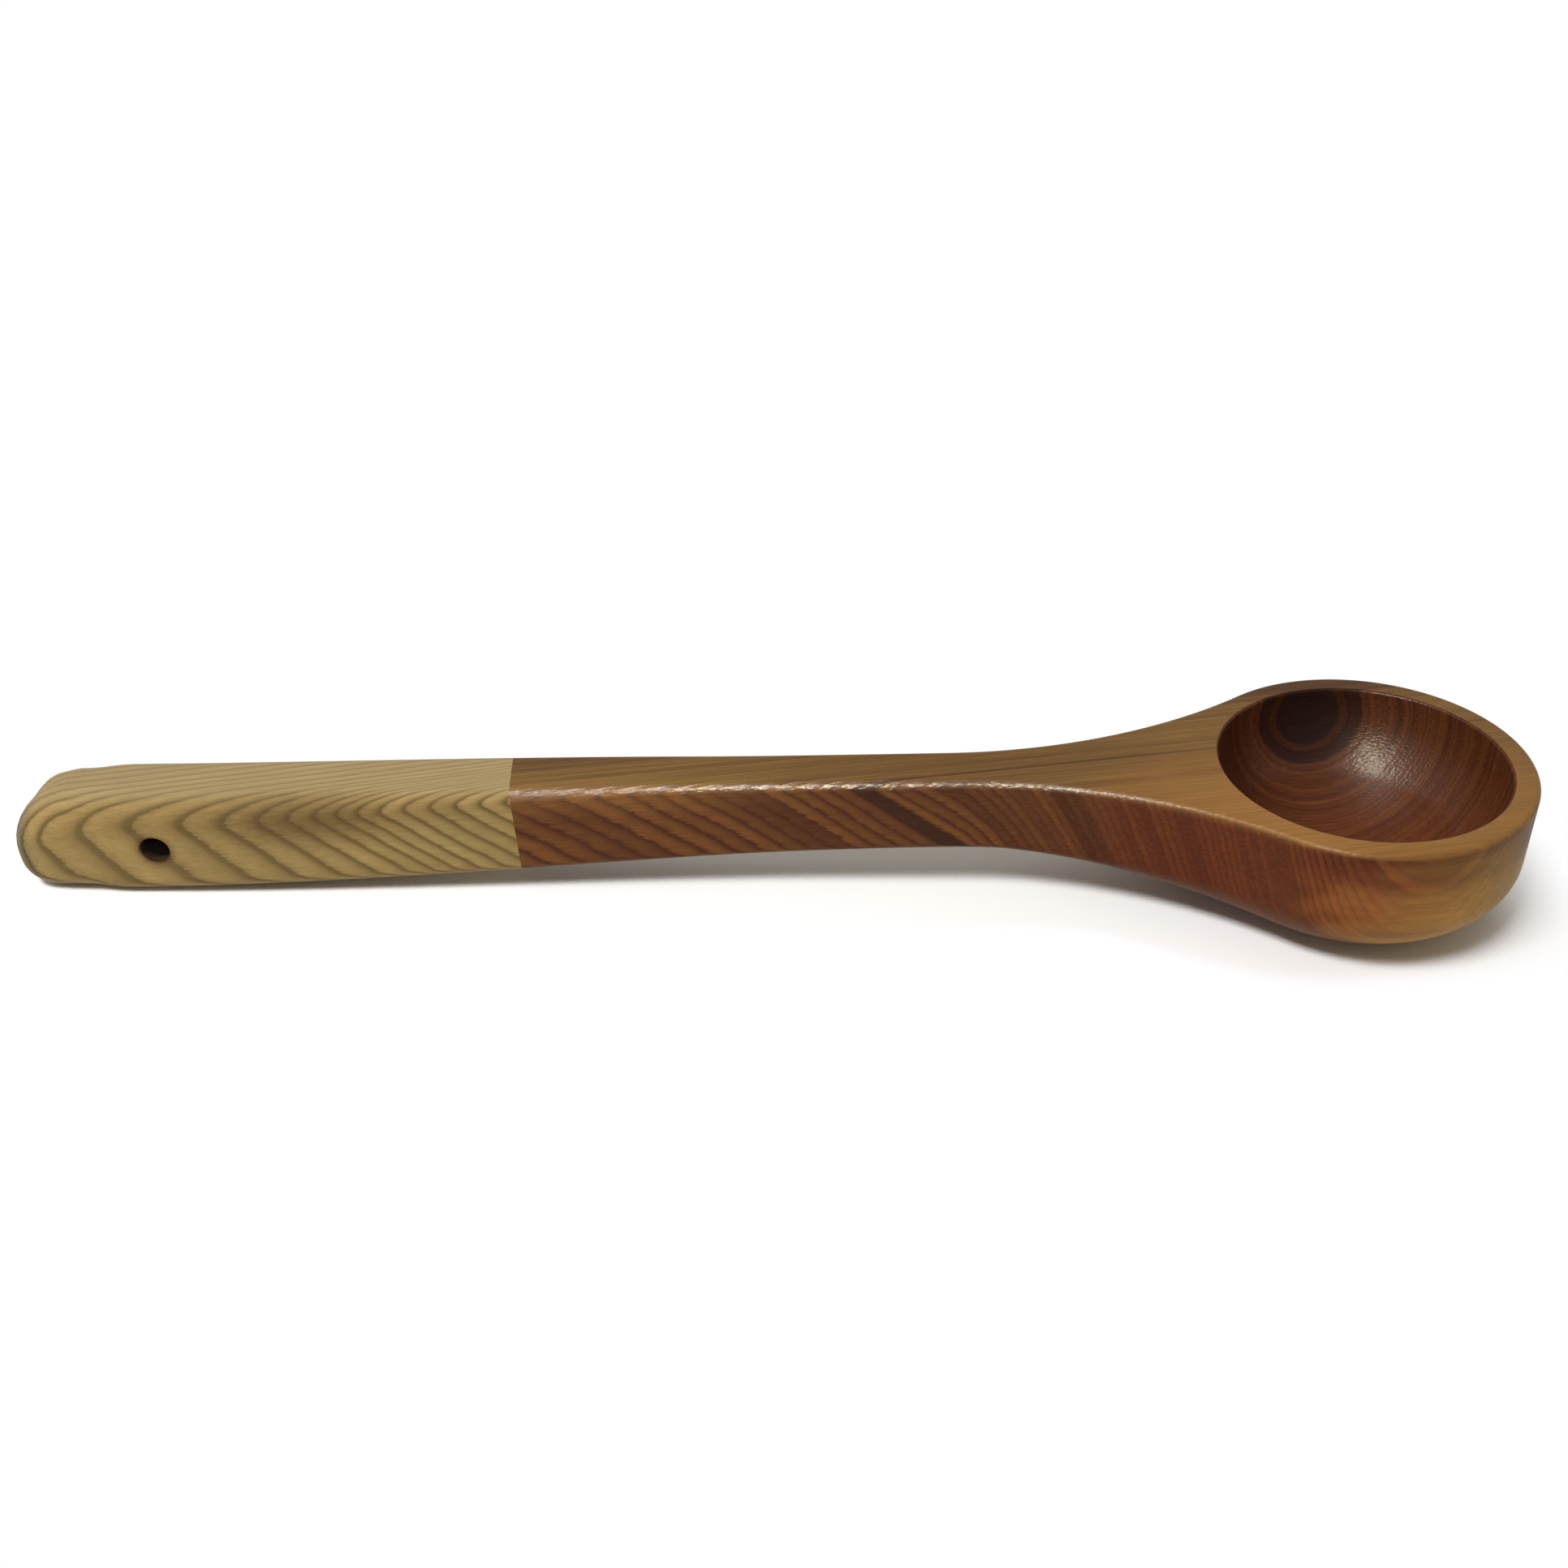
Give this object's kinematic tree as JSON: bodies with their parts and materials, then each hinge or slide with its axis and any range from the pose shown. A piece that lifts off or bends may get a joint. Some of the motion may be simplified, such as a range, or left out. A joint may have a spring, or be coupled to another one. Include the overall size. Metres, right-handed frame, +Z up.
{
  "type": "wooden ladle",
  "caption": "Two-tone wooden ladle with a deep round bowl and a slim shaft, and a pale rounded grip that is dowelled to it and drilled for hanging.",
  "frame": {"origin": "middle of the footprint, on the surface that the ladle stands on", "axes": "+X along the handle towards the bowl, +Y to the left of the bowl seen from the grip, +Z up out of the bowl's mouth"},
  "size_m": [0.4098, 0.086, 0.0408],
  "materials": {
    "brown_wood": "satin lacquer over a brown softwood with marked growth rings",
    "pale_wood": "sanded and left matt, pale softwood with marked growth rings",
    "dowel_wood": "plain fluted beech dowel"
  },
  "bodies": {
    "root": {"ladle_body": "brown_wood", "handle_grip": "pale_wood", "joint_dowel": "dowel_wood"}
  },
  "joints": []
}
